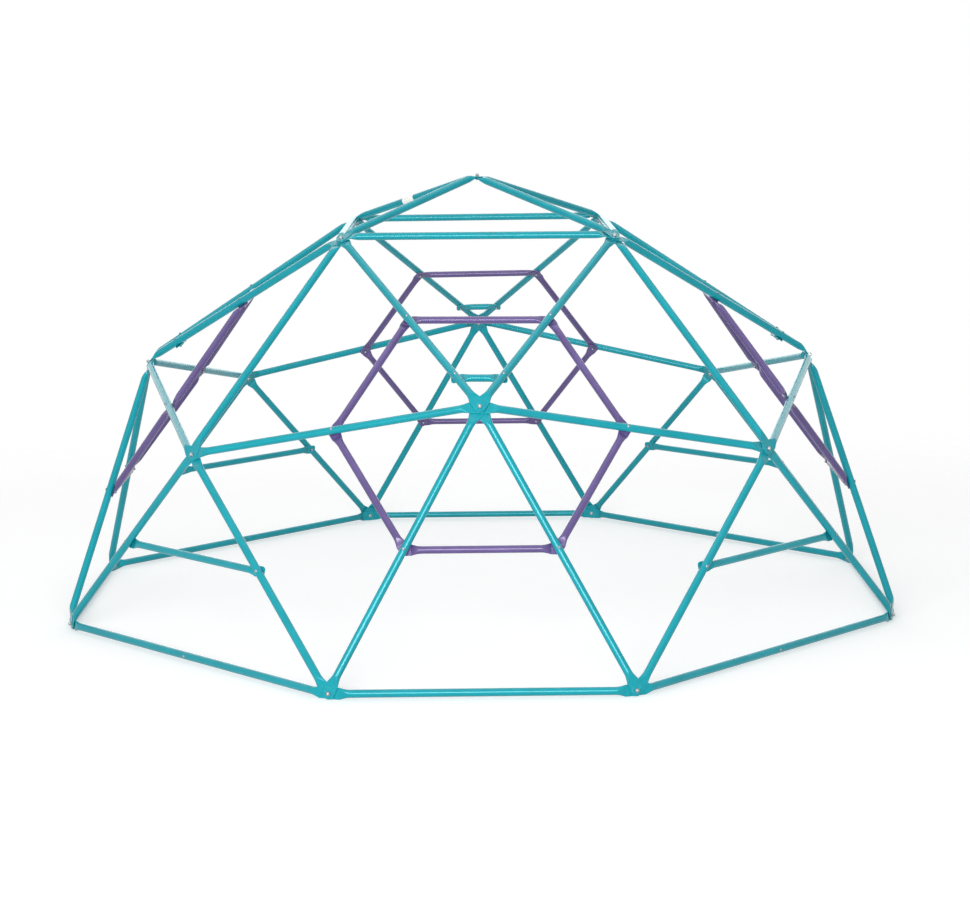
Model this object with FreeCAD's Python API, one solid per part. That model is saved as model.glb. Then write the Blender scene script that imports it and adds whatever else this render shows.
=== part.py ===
import FreeCAD, Part

import math
import os
from collections import namedtuple

from FreeCAD import Rotation, Vector

# Dome climber: a playground frame of straight steel tubes whose ends are pressed flat and bolted
# together, several to a hub. Seen from above it has four faces (front, right, back, left) with a
# corner between each two. Its hubs, from the ground up, are eight base hubs, a corner hub over each
# corner, a face hub over each face, four crown hubs on the corners, and one top hub.
# Millimetres, +Z up, -Y the front. The origin is on the ground below the top hub.

# --- Hubs: distance from the upright axis, and height above the base hubs
BASE_RADIUS = 1500.0
BASE_HALF_ANGLE = 18.4          # from the middle of a face to its base hubs, degrees
CORNER_RADIUS = 1315.0
CORNER_RISE = 664.0
FACE_RADIUS = 1188.0
FACE_RISE = 849.0
CROWN_RADIUS = 652.0
CROWN_RISE = 1320.0
TOP_RISE = 1504.0

# --- Tubes
FRAME_TUBE = 25.4               # outside diameter of the struts
INNER_TUBE = 24.0               # outside diameter of the hexagon bars, bridges and rungs
WALL = 1.2
TAB_THICKNESS = 2 * WALL        # a tube pressed flat is two walls thick
TAB_END = 16.0                  # from the bolt to the free end of a tab
TAB_CORNER = 10.0               # radius of a tab's two corners
HUB_REACH = 34.0                # from the bolt to the bend, where the tube starts
SHORT_REACH = 20.0              # the same where a tab has room: on the top hub and across a strut
FLARE = 32.0                    # length over which a flat end swells to a round tube
CAVITY_INSET = 2.0              # the hollow stops this far short of the bend
CAVITY_END_HEIGHT = 0.6         # height of the hollow where it closes
FLARE_CROWN_ANGLE = 50.0        # half the angle of the round tube that the flat face turns into

# --- Where bars cross a strut
BRIDGE_DISTANCE = 160.0         # from a face hub to the bridge above it, along the strut

# --- Long base bars: two tubes plugged together in the middle
SEAM_GAP = 1.0
SPIGOT_LENGTH = 45.0            # from the seam into the socket tube
SPIGOT_ROOT = 15.0              # from the seam back inside the plug tube
SPIGOT_CLEARANCE = 0.1
JOINT_SCREW_OFFSET = 20.0       # from the seam to the cross screw

# --- Fasteners: larger ones hold the hubs, smaller ones hold the inner bars and the joints
Bolt = namedtuple("Bolt", "shank hole head head_height")
CapNut = namedtuple("CapNut", "across_flats hex_height dome_height dome_radius")
HUB_BOLT = Bolt(8.0, 8.6, 14.0, 4.4)
HUB_NUT = CapNut(13.0, 6.0, 5.0, 5.9)
BAR_BOLT = Bolt(6.0, 6.4, 10.5, 3.3)
BAR_NUT = CapNut(10.0, 5.0, 4.0, 4.5)
SCREW_NUT_HEIGHT = 5.0          # the plain nut of a joint screw
NUT_SHOULDER = 1.0              # rounding of a cap nut's upper corners
NUT_BORE_BEYOND = 1.5           # a cap nut's bore goes this far past its hexagonal part
NUT_BORE_CLEARANCE = 0.1        # between a shank and the bore of its nut, on the radius
HEAD_DOME_FRACTION = 0.85       # dome of a button head, as a part of its height
SOCKET_FRACTION = 0.36          # hexagon socket across flats, as a part of the head's width
SOCKET_DEPTH_FRACTION = 0.55

# --- Label: a blank wrap on one crown spoke
LABEL_LENGTH = 58.0
LABEL_THICKNESS = 0.3
LABEL_POSITION = 0.55           # along the spoke, from the top hub

SIDES = ["front", "right", "back", "left"]
CORNERS = ["front_right", "back_right", "back_left", "front_left"]
SIDE_ANGLE = 90.0

# --- The tabs on each hub's bolt, from the innermost out. Bars that come in pairs are numbered
# 0 and 1 in the order in which they run round the dome.
STACKS = {
    "top": ["spoke 0", "spoke 1", "spoke 2", "spoke 3"],
    "crown": ["corner strut", "face strut 1", "face strut 0", "crown bar 1", "crown bar 0", "spoke"],
    "face": ["leg 1", "leg 0", "belt bar 1", "belt bar 0", "face strut 1", "face strut 0"],
    "corner": ["leg 1", "leg 0", "belt bar 1", "belt bar 0", "corner strut"],
    "base": ["long bar", "base bar", "corner leg", "face leg"],
}

Hub = namedtuple("Hub", "point normal kind")
Seat = namedtuple("Seat", "point normal reach")     # a tab's middle at its bolt, and its flat side
Cross = namedtuple("Cross", "point normal")         # where a bolt goes through a tube, and its way
Line = namedtuple("Line", "start direction length")     # a tube's axis between its two bends


# ---------------------------------------------------------------- hubs

def tab_width(diameter):
    """A tube keeps the length of its wall when it is pressed flat."""
    wall_line = math.pi * (diameter - WALL)
    return (wall_line - math.pi * WALL) / 2 + TAB_THICKNESS


def around(radius, degrees, height):
    """A point at a distance from the upright axis. The angle runs from the front to the right."""
    angle = math.radians(degrees)
    return Vector(radius * math.sin(angle), -radius * math.cos(angle), height)


def base_hub_height():
    """The frame stands on the rounded corners of the corner legs' tabs, so they touch z = 0."""
    corner = around(CORNER_RADIUS, SIDE_ANGLE / 2, CORNER_RISE)
    leg = corner - around(BASE_RADIUS, BASE_HALF_ANGLE, 0)
    out = around(1, BASE_HALF_ANGLE, 0)
    in_tab = (leg - out * leg.dot(out)).normalize()
    slope = math.asin(in_tab.z)
    end = (TAB_END - TAB_CORNER) * math.sin(slope)
    side = (tab_width(FRAME_TUBE) / 2 - TAB_CORNER) * math.cos(slope)
    return TAB_CORNER + end + side


CENTRE = Vector(0, 0, base_hub_height())


def outward(point):
    """Away from the dome's centre, which is level with the base hubs."""
    return (point - CENTRE).normalize()


def hub(kind, degrees):
    radius, rise = {
        "base": (BASE_RADIUS, 0.0),
        "corner": (CORNER_RADIUS, CORNER_RISE),
        "face": (FACE_RADIUS, FACE_RISE),
        "crown": (CROWN_RADIUS, CROWN_RISE),
        "top": (0.0, TOP_RISE),
    }[kind]
    point = around(radius, degrees, CENTRE.z + rise)
    return Hub(point, outward(point), kind)


def face_hub(side):
    return hub("face", side * SIDE_ANGLE)


def corner_hub(corner):
    return hub("corner", (corner + 0.5) * SIDE_ANGLE)


def crown_hub(corner):
    return hub("crown", (corner + 0.5) * SIDE_ANGLE)


def base_hub(side, end):
    """One of the two base hubs of a side: end is -1 for its first and +1 for its second."""
    return hub("base", side * SIDE_ANGLE + end * BASE_HALF_ANGLE)


def stack_height(at):
    return len(STACKS[at.kind]) * TAB_THICKNESS


def seat(at, bar, number=None):
    """The place of one bar's tab in a hub's stack."""
    name = bar if number is None else f"{bar} {number}"
    height = (STACKS[at.kind].index(name) + 0.5) * TAB_THICKNESS
    reach = SHORT_REACH if at.kind == "top" else HUB_REACH
    return Seat(at.point + at.normal * (height - stack_height(at) / 2), at.normal, reach)


# ---------------------------------------------------------------- flattened tubes

def flat_wire(centre, across, normal, width, height):
    """Outline of a flattened tube: two flat sides joined by rounded folds."""
    half = (width - height) / 2
    side = across * half
    up = normal * (height / 2)
    fold = across * (width / 2)
    corners = [centre - side - up, centre + side - up, centre + side + up, centre - side + up]
    return Part.Wire([
        Part.LineSegment(corners[0], corners[1]).toShape(),
        Part.Arc(corners[1], centre + fold, corners[2]).toShape(),
        Part.LineSegment(corners[2], corners[3]).toShape(),
        Part.Arc(corners[3], centre - fold, corners[0]).toShape(),
    ])


def round_wire(centre, across, normal, radius):
    """The same four edges on a circle: the crown and the floor of the tube, and its two sides."""
    tilt = math.radians(FLARE_CROWN_ANGLE)
    side = across * (radius * math.sin(tilt))
    up = normal * (radius * math.cos(tilt))
    corners = [centre - side - up, centre + side - up, centre + side + up, centre - side + up]
    return Part.Wire([
        Part.Arc(corners[0], centre - normal * radius, corners[1]).toShape(),
        Part.Arc(corners[1], centre + across * radius, corners[2]).toShape(),
        Part.Arc(corners[2], centre + normal * radius, corners[3]).toShape(),
        Part.Arc(corners[3], centre - across * radius, corners[0]).toShape(),
    ])


def make_tab(diameter, reach, bolt):
    """A flattened end lying on the XY plane, its bolt at the origin and its tube towards +X."""
    width = tab_width(diameter)
    x_axis = Vector(1, 0, 0)
    y_axis = Vector(0, 1, 0)
    z_axis = Vector(0, 0, 1)
    outline = flat_wire(x_axis * -TAB_END, y_axis, z_axis, width, TAB_THICKNESS)
    plate = Part.Face(outline).extrude(x_axis * (TAB_END + reach))
    block = Part.makeBox(
        2 * (TAB_END + reach), width, TAB_THICKNESS,
        Vector(-TAB_END, -width / 2, -TAB_THICKNESS / 2),
    )
    end_edges = [e for e in block.Edges if is_upright_edge_at(e, -TAB_END)]
    plate = plate.common(block.makeFillet(TAB_CORNER, end_edges))
    hole = Part.makeCylinder(bolt.hole / 2, 2 * TAB_THICKNESS, z_axis * -TAB_THICKNESS)
    return plate.cut(hole)


def is_upright_edge_at(edge, x):
    first, last = [v.Point for v in edge.Vertexes]
    upright = abs(first.z - last.z) > TAB_THICKNESS / 2
    return upright and abs(first.x - x) < TAB_THICKNESS / 2


def turned(shape, x_axis, z_axis, origin):
    """A copy of a shape, with its own axes laid along the ones given."""
    copy = shape.copy()
    y_axis = z_axis.cross(x_axis)
    copy.Placement = FreeCAD.Placement(origin, Rotation(x_axis, y_axis, z_axis, "XZY"))
    return copy


def tab_direction(at, target):
    """From a tab's bolt towards its tube, lying in the tab."""
    run = target - at.point
    return (run - at.normal * run.dot(at.normal)).normalize()


def axis_between(seat_a, seat_b):
    """The straight axis between the bends of a tube whose ends sit on two seats."""
    start = seat_a.point + tab_direction(seat_a, seat_b.point) * seat_a.reach
    end = seat_b.point + tab_direction(seat_b, seat_a.point) * seat_b.reach
    run = end - start
    length = run.Length
    return Line(start, run.normalize(), length)


def flare(bend, tab_way, normal, axis_way, radius, width, height, inset):
    """A flat end that swells into a round tube. It starts inset past the bend."""
    across = normal.cross(tab_way)
    across_axis = (across - axis_way * across.dot(axis_way)).normalize()
    flat = flat_wire(bend + axis_way * inset, across, normal, width, height)
    circle = round_wire(
        bend + axis_way * FLARE, across_axis, across_axis.cross(axis_way) * -1, radius
    )
    return Part.makeLoft([flat, circle], True, True)


def end_pieces(at, line_point, axis_way, target, diameter):
    """The outer skin of one end, as a tab and a flare, and the hollow inside the flare."""
    tab_way = tab_direction(at, target)
    width = tab_width(diameter)
    tab = turned(TABS[diameter, at.reach], tab_way, at.normal, at.point)
    skin = flare(
        line_point, tab_way, at.normal, axis_way, diameter / 2, width, TAB_THICKNESS, 0.0
    )
    hollow = flare(
        line_point, tab_way, at.normal, axis_way, diameter / 2 - WALL,
        width - 2 * TAB_THICKNESS, CAVITY_END_HEIGHT, CAVITY_INSET,
    )
    return [tab, skin], hollow


def tube(seat_a, seat_b, diameter, cross_holes=()):
    """A hollow tube with both ends flattened. cross_holes are (point, direction, diameter)."""
    line = axis_between(seat_a, seat_b)
    end = line.start + line.direction * line.length
    skin_a, hollow_a = end_pieces(seat_a, line.start, line.direction, seat_b.point, diameter)
    skin_b, hollow_b = end_pieces(seat_b, end, line.direction * -1, seat_a.point, diameter)
    start = line.start + line.direction * FLARE
    length = line.length - 2 * FLARE
    barrel = Part.makeCylinder(diameter / 2, length, start, line.direction)
    core = Part.makeCylinder(diameter / 2 - WALL, length, start, line.direction)
    body = skin_a[0].fuse([skin_a[1], barrel, skin_b[1], skin_b[0]])
    body = body.cut(core.fuse([hollow_a, hollow_b]))
    return drilled(body, cross_holes)


def drilled(body, cross_holes):
    for point, direction, diameter in cross_holes:
        start = point - direction * FRAME_TUBE
        body = body.cut(Part.makeCylinder(diameter / 2, 2 * FRAME_TUBE, start, direction))
    return body


# ---------------------------------------------------------------- bolted crossings on a strut

def crossing(seat_a, seat_b, distance=None):
    """Where a bolt goes through a strut: its middle, or a distance from the first hub's bolt."""
    line = axis_between(seat_a, seat_b)
    along = line.length / 2 if distance is None else distance - seat_a.reach
    point = line.start + line.direction * along
    away = outward(point)
    bolt_way = (away - line.direction * away.dot(line.direction)).normalize()
    return Cross(point, bolt_way)


def inner_seat(cross, level):
    """The place of a bar's tab against the inside of a strut. Level 0 touches the strut."""
    depth = FRAME_TUBE / 2 + (level + 0.5) * TAB_THICKNESS
    return Seat(cross.point - cross.normal * depth, cross.normal, SHORT_REACH)


def hole_at(cross):
    return (cross.point, cross.normal, BAR_BOLT.hole)


# ---------------------------------------------------------------- struts, by where they run

def face_strut_ends(side, end):
    """From a face hub up to the crown hub before it (end 0) or after it (end 1)."""
    crown = crown_hub(side - 1 + end)
    return seat(face_hub(side), "face strut", end), seat(crown, "face strut", end)


def belt_bar_ends(side, end):
    """From a face hub across to the corner hub before or after it."""
    corner = corner_hub(side - 1 + end)
    return seat(face_hub(side), "belt bar", end), seat(corner, "belt bar", end)


def face_leg_ends(side, end):
    """From a face hub down to one of its two base hubs."""
    return seat(face_hub(side), "leg", end), seat(base_hub(side, 2 * end - 1), "face leg")


def corner_leg_ends(corner, end):
    """From a corner hub down to the base hub before or after it."""
    base = base_hub(corner + end, 1 - 2 * end)
    return seat(corner_hub(corner), "leg", end), seat(base, "corner leg")


def crown_spoke_ends(corner):
    return seat(hub("top", 0), "spoke", corner), seat(crown_hub(corner), "spoke")


def make_crown_spoke(corner):
    return tube(*crown_spoke_ends(corner), FRAME_TUBE)


def make_crown_bar(side):
    before = seat(crown_hub(side - 1), "crown bar", 0)
    after = seat(crown_hub(side), "crown bar", 1)
    return tube(before, after, FRAME_TUBE)


def make_corner_strut(corner):
    upper = seat(crown_hub(corner), "corner strut")
    lower = seat(corner_hub(corner), "corner strut")
    return tube(upper, lower, FRAME_TUBE)


def make_face_struts(side):
    struts = []
    for end in (0, 1):
        seats = face_strut_ends(side, end)
        holes = [hole_at(crossing(*seats)), hole_at(crossing(*seats, BRIDGE_DISTANCE))]
        struts.append(tube(*seats, FRAME_TUBE, holes))
    return Part.makeCompound(struts)


def make_drilled_pair(ends, index):
    """Two struts of the same kind that leave one hub, each drilled in the middle."""
    pair = []
    for end in (0, 1):
        seats = ends(index, end)
        pair.append(tube(*seats, FRAME_TUBE, [hole_at(crossing(*seats))]))
    return Part.makeCompound(pair)


def make_base_bar(side):
    before = seat(base_hub(side, -1), "base bar")
    after = seat(base_hub(side, 1), "base bar")
    return tube(before, after, FRAME_TUBE)


# ---------------------------------------------------------------- long base bars, in two tubes

def long_bar_seats(corner):
    """The seat on the left or right side of the dome comes first: it holds the socket tube."""
    before = seat(base_hub(corner, 1), "long bar")
    after = seat(base_hub(corner + 1, -1), "long bar")
    return (before, after) if SIDES[corner] in ("right", "left") else (after, before)


def joint_cross(corner):
    """The cross screw of a long bar, through the socket tube just short of the seam."""
    socket_seat, plug_seat = long_bar_seats(corner)
    line = axis_between(socket_seat, plug_seat)
    along = (line.length - SEAM_GAP) / 2 - JOINT_SCREW_OFFSET
    point = line.start + line.direction * along
    level_way = Vector(0, 0, 1).cross(line.direction).normalize()
    if level_way.dot(outward(point)) < 0:
        level_way = level_way * -1
    return Cross(point, level_way)


def half_bar(corner, near, far, bore, root=0.0, spigot=0.0):
    """Half of a long bar, from its hub to the seam. A spigot starts inside it and runs on past."""
    line = axis_between(near, far)
    skin, hollow = end_pieces(near, line.start, line.direction, far.point, FRAME_TUBE)
    start = line.start + line.direction * FLARE
    length = (line.length - SEAM_GAP) / 2 - FLARE
    barrel = Part.makeCylinder(FRAME_TUBE / 2, length, start, line.direction)
    body = skin[0].fuse([skin[1], barrel])
    core = Part.makeCylinder(FRAME_TUBE / 2 - WALL, length - root, start, line.direction)
    if spigot:
        neck = Part.makeCylinder(bore + WALL, length + spigot, start, line.direction)
        body = body.fuse(neck)
    through = Part.makeCylinder(bore, length + spigot, start, line.direction)
    body = body.cut(core.fuse([hollow, through]))
    cross = joint_cross(corner)
    return drilled(body, [hole_at(cross)])


def make_base_socket_tube(corner):
    near, far = long_bar_seats(corner)
    return half_bar(corner, near, far, FRAME_TUBE / 2 - WALL)


def make_base_plug_tube(corner):
    far, near = long_bar_seats(corner)
    bore = FRAME_TUBE / 2 - 2 * WALL - SPIGOT_CLEARANCE
    return half_bar(corner, near, far, bore, SPIGOT_ROOT, SPIGOT_LENGTH + SEAM_GAP)


# ---------------------------------------------------------------- bars on the inside of the dome

def hexagon_crossings(side):
    """The middles of the six struts that meet at a face hub, in order round the hexagon."""
    return [
        crossing(*face_strut_ends(side, 0)),
        crossing(*face_strut_ends(side, 1)),
        crossing(*belt_bar_ends(side, 1)),
        crossing(*face_leg_ends(side, 1)),
        crossing(*face_leg_ends(side, 0)),
        crossing(*belt_bar_ends(side, 0)),
    ]


def make_hexagon(side):
    """Six bars. Each lies against the strut at its first end and on its neighbour at its last."""
    corners = hexagon_crossings(side)
    bars = []
    for index, corner in enumerate(corners):
        following = corners[(index + 1) % len(corners)]
        bars.append(tube(inner_seat(corner, 0), inner_seat(following, 1), INNER_TUBE))
    return Part.makeCompound(bars)


def bridge_crossings(side):
    return [crossing(*face_strut_ends(side, end), BRIDGE_DISTANCE) for end in (0, 1)]


def rung_crossings(corner):
    return [crossing(*corner_leg_ends(corner, end)) for end in (0, 1)]


def make_cross_bar(crossings):
    """A bar between the insides of two struts, alone on each bolt."""
    first, last = crossings
    return tube(inner_seat(first, 0), inner_seat(last, 0), INNER_TUBE)


# ---------------------------------------------------------------- fasteners

def domed(radius, height, dome):
    """A round body standing on z = 0, closed by a dome of the given height."""
    rim = height - dome
    dome_radius = (radius ** 2 + dome ** 2) / (2 * dome)
    middle = math.asin(radius / dome_radius) / 2
    on_dome = Vector(
        dome_radius * math.sin(middle), 0, height - dome_radius * (1 - math.cos(middle))
    )
    wire = Part.Wire([
        Part.LineSegment(Vector(0, 0, 0), Vector(radius, 0, 0)).toShape(),
        Part.LineSegment(Vector(radius, 0, 0), Vector(radius, 0, rim)).toShape(),
        Part.Arc(Vector(radius, 0, rim), on_dome, Vector(0, 0, height)).toShape(),
        Part.LineSegment(Vector(0, 0, height), Vector(0, 0, 0)).toShape(),
    ])
    return Part.Face(wire).revolve(Vector(0, 0, 0), Vector(0, 0, 1), 360)


def hexagon_prism(across_flats, height, base_height=0.0):
    radius = across_flats / math.sqrt(3)
    angles = [math.radians(60 * corner) for corner in range(7)]
    corners = [Vector(radius * math.cos(a), radius * math.sin(a), base_height) for a in angles]
    return Part.Face(Part.makePolygon(corners)).extrude(Vector(0, 0, height))


def make_bolt(size, length):
    """A button-head bolt: its head stands on z = 0 and its shank runs down from there."""
    body = domed(size.head / 2, size.head_height, size.head_height * HEAD_DOME_FRACTION)
    body = body.fuse(Part.makeCylinder(size.shank / 2, length, Vector(0, 0, -length)))
    floor = size.head_height * (1 - SOCKET_DEPTH_FRACTION)
    return body.cut(hexagon_prism(size.head * SOCKET_FRACTION, size.head_height, floor))


def make_cap_nut(size, bolt):
    """A hexagonal nut closed by a dome, standing on z = 0, with a blind bore for the shank."""
    corner_radius = size.across_flats / math.sqrt(3)
    shoulders = domed(corner_radius, size.hex_height + NUT_SHOULDER, 2 * NUT_SHOULDER)
    prism = hexagon_prism(size.across_flats, size.hex_height).common(shoulders)
    cap = domed(size.dome_radius, size.hex_height + size.dome_height, size.dome_height)
    bore_radius = bolt.shank / 2 + NUT_BORE_CLEARANCE
    bore = Part.makeCylinder(bore_radius, size.hex_height + NUT_BORE_BEYOND)
    return prism.fuse(cap).cut(bore)


def make_screw_nut():
    bore = Part.makeCylinder(BAR_BOLT.shank / 2 + NUT_BORE_CLEARANCE, SCREW_NUT_HEIGHT)
    return hexagon_prism(BAR_NUT.across_flats, SCREW_NUT_HEIGHT).cut(bore)


def stood(shape, point, up):
    """A copy of a fastener whose z = 0 face lies at a point, with its head or dome towards up."""
    copy = shape.copy()
    copy.Placement = FreeCAD.Placement(point, Rotation(Vector(0, 0, 1), up))
    return copy


def all_hubs():
    hubs = [hub("top", 0)]
    for index in range(len(SIDES)):
        hubs += [crown_hub(index), corner_hub(index), face_hub(index)]
        hubs += [base_hub(index, -1), base_hub(index, 1)]
    return hubs


def make_hub_fasteners():
    """At each hub, a bolt with its head inside the dome and its cap nut outside."""
    nut = make_cap_nut(HUB_NUT, HUB_BOLT)
    bolts = []
    nuts = []
    for at in all_hubs():
        stack = stack_height(at)
        bolt = make_bolt(HUB_BOLT, stack + HUB_NUT.hex_height)
        bolts.append(stood(bolt, at.point - at.normal * (stack / 2), at.normal * -1))
        nuts.append(stood(nut, at.point + at.normal * (stack / 2), at.normal))
    return Part.makeCompound(bolts), Part.makeCompound(nuts)


def bar_crossings():
    """Every bolted crossing away from the hubs, with the number of tabs that it holds."""
    crossings = []
    for index in range(len(SIDES)):
        crossings += [(cross, 2) for cross in hexagon_crossings(index)]
        crossings += [(cross, 1) for cross in bridge_crossings(index)]
        crossings += [(cross, 1) for cross in rung_crossings(index)]
    return crossings


def make_bar_fasteners():
    """At each crossing, a bolt with its head outside on the strut and its cap nut inside."""
    nut = make_cap_nut(BAR_NUT, BAR_BOLT)
    bolts = []
    nuts = []
    for cross, tabs in bar_crossings():
        grip = FRAME_TUBE + tabs * TAB_THICKNESS
        bolt = make_bolt(BAR_BOLT, grip + BAR_NUT.hex_height)
        outside = cross.point + cross.normal * (FRAME_TUBE / 2)
        bolts.append(stood(bolt, outside, cross.normal))
        nuts.append(stood(nut, outside - cross.normal * grip, cross.normal * -1))
    return Part.makeCompound(bolts), Part.makeCompound(nuts)


def make_joint_fasteners():
    """The cross screw and nut of each long base bar."""
    screw = make_bolt(BAR_BOLT, FRAME_TUBE + SCREW_NUT_HEIGHT)
    nut = make_screw_nut()
    screws = []
    nuts = []
    for corner in range(len(CORNERS)):
        cross = joint_cross(corner)
        screws.append(stood(screw, cross.point + cross.normal * (FRAME_TUBE / 2), cross.normal))
        inside = cross.point - cross.normal * (FRAME_TUBE / 2)
        nuts.append(stood(nut, inside, cross.normal * -1))
    return Part.makeCompound(screws), Part.makeCompound(nuts)


def make_label():
    """A blank wrap round the spoke to the back left crown hub."""
    line = axis_between(*crown_spoke_ends(CORNERS.index("back_left")))
    start = line.start + line.direction * (line.length * LABEL_POSITION - LABEL_LENGTH / 2)
    outer = Part.makeCylinder(
        FRAME_TUBE / 2 + LABEL_THICKNESS, LABEL_LENGTH, start, line.direction
    )
    return outer.cut(Part.makeCylinder(FRAME_TUBE / 2, LABEL_LENGTH, start, line.direction))


# ---------------------------------------------------------------- the whole climber

TABS = {
    (FRAME_TUBE, HUB_REACH): make_tab(FRAME_TUBE, HUB_REACH, HUB_BOLT),
    (FRAME_TUBE, SHORT_REACH): make_tab(FRAME_TUBE, SHORT_REACH, HUB_BOLT),
    (INNER_TUBE, SHORT_REACH): make_tab(INNER_TUBE, SHORT_REACH, BAR_BOLT),
}


def build():
    nodes = {}
    for index, (side, corner) in enumerate(zip(SIDES, CORNERS)):
        nodes["crown_spoke_" + corner] = make_crown_spoke(index)
        nodes["crown_bar_" + side] = make_crown_bar(index)
        nodes["corner_strut_" + corner] = make_corner_strut(index)
        nodes["face_struts_" + side] = make_face_struts(index)
        nodes["belt_bars_" + side] = make_drilled_pair(belt_bar_ends, index)
        nodes["face_legs_" + side] = make_drilled_pair(face_leg_ends, index)
        nodes["corner_legs_" + corner] = make_drilled_pair(corner_leg_ends, index)
        nodes["base_bar_" + side] = make_base_bar(index)
        nodes["base_socket_tube_" + corner] = make_base_socket_tube(index)
        nodes["base_plug_tube_" + corner] = make_base_plug_tube(index)
        nodes["bridge_bar_" + side] = make_cross_bar(bridge_crossings(index))
        nodes["rung_" + corner] = make_cross_bar(rung_crossings(index))
        nodes["hexagon_" + side] = make_hexagon(index)
    nodes["hub_bolts"], nodes["hub_nuts"] = make_hub_fasteners()
    nodes["bar_bolts"], nodes["bar_nuts"] = make_bar_fasteners()
    nodes["joint_screws"], nodes["joint_nuts"] = make_joint_fasteners()
    nodes["label_wrap"] = make_label()
    return nodes


def main():
    os.makedirs("parts", exist_ok=True)
    for name, shape in build().items():
        if not shape.isValid():
            print("not valid:", name)
        shape.exportStep(os.path.join("parts", name + ".step"))
        volume = sum(solid.Volume for solid in shape.Solids)
        print(f"{name}: {len(shape.Solids)} solids, {volume / 1000:.1f} cm3")


main()
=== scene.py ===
"""Looks of the dome climber: its tubes, fasteners and label in fine mesh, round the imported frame.

Seen from above the frame has four faces (front, right, back, left) and a corner between each two.
Metres, +Z up, -Y the front. Each visible piece stands for the frame's node of the same name.
"""

import math
from collections import namedtuple

import bmesh
import bpy
from mathutils import Matrix, Quaternion, Vector


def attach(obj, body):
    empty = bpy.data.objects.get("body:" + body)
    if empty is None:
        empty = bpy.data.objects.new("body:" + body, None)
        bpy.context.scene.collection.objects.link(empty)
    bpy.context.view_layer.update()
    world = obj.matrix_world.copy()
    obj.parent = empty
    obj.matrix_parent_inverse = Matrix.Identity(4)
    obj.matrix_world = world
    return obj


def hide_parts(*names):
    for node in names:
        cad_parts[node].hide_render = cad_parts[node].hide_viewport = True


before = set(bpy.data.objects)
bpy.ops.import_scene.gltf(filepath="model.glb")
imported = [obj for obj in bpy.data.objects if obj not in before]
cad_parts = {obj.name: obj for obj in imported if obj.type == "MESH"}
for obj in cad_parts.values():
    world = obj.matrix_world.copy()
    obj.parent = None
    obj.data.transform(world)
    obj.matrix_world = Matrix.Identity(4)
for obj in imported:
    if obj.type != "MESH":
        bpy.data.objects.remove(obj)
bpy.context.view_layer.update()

MM = 0.001

# --- Hubs: distance from the upright axis, and height above the base hubs
BASE_RADIUS = 1.5
BASE_HALF_ANGLE = 18.4          # from the middle of a face to its base hubs, degrees
CORNER_RADIUS = 1.315
CORNER_RISE = 0.664
FACE_RADIUS = 1.188
FACE_RISE = 0.849
CROWN_RADIUS = 0.652
CROWN_RISE = 1.320
TOP_RISE = 1.504
SIDE_ANGLE = 90.0

# --- Tubes
FRAME_TUBE = 25.4 * MM          # outside diameter of the struts
INNER_TUBE = 24.0 * MM          # outside diameter of the hexagon bars, bridges and rungs
WALL = 1.2 * MM
TAB_THICKNESS = 2 * WALL
TAB_END = 16.0 * MM             # from the bolt to the free end of a tab
TAB_CORNER = 10.0 * MM          # radius of a tab's two corners
HUB_REACH = 34.0 * MM           # from the bolt to the bend, where the tube starts
SHORT_REACH = 20.0 * MM         # the same where a tab has room: on the top hub and across a strut
FLARE = 32.0 * MM               # length over which a flat end swells to a round tube
BEND_EASE = 4.0 * MM            # from the bend's middle to where it starts and ends
EDGE_ROUND = 0.35 * MM          # rounding of the sheared edge of a tab
SLIT = 0.14 * MM                # half the gap between the two walls, seen at a tab's free end
SLIT_DEPTH = 1.5 * MM
BRIDGE_DISTANCE = 160.0 * MM    # from a face hub to the bridge above it, along the strut

# --- Long base bars: two tubes plugged together in the middle
SEAM_GAP = 1.0 * MM
SPIGOT_CLEARANCE = 0.1 * MM
SPIGOT_SHOWN = 30.0 * MM        # how far the spigot and the socket's inner wall are modelled
RIM_ROUND = 0.4 * MM            # rounding of a tube's cut end
JOINT_SCREW_OFFSET = 20.0 * MM  # from the seam to the cross screw

# --- Fasteners: larger ones hold the hubs, smaller ones hold the inner bars and the joints
Bolt = namedtuple("Bolt", "shank head head_height")
CapNut = namedtuple("CapNut", "across_flats hex_height dome_height dome_radius")
HUB_BOLT = Bolt(8.0 * MM, 14.0 * MM, 4.4 * MM)
HUB_NUT = CapNut(13.0 * MM, 6.0 * MM, 5.0 * MM, 5.9 * MM)
BAR_BOLT = Bolt(6.0 * MM, 10.5 * MM, 3.3 * MM)
BAR_NUT = CapNut(10.0 * MM, 5.0 * MM, 4.0 * MM, 4.5 * MM)
SCREW_NUT_HEIGHT = 5.0 * MM
SOCKET_FRACTION = 0.36          # hexagon socket across flats, as a part of the head's width
SOCKET_DEPTH_FRACTION = 0.55
TURN_STEP = math.radians(17)    # how much further each fastener is turned than the one before

# --- Label: a blank wrap on one crown spoke
LABEL_LENGTH = 58.0 * MM
LABEL_THICKNESS = 0.3 * MM
LABEL_POSITION = 0.55           # along the spoke, from the top hub

# --- Mesh fineness
SECTION_POINTS = 32             # round a tube
TURNS = 48                      # round a fastener, a multiple of 12
SHARP_ANGLE = math.radians(35)

# --- Wear, from 0 in the middle of a tube to 1 on a sheared edge
WEAR_SHEARED = 1.0
WEAR_TAB = 0.5
WEAR_BEND = 0.4
WEAR_RIM = 0.6
WEAR_NECK = 0.3
RUBBED_FROM = 9.0 * MM          # from the bolt to where rub marks start to fade
RUBBED_TO = 32.0 * MM

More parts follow.
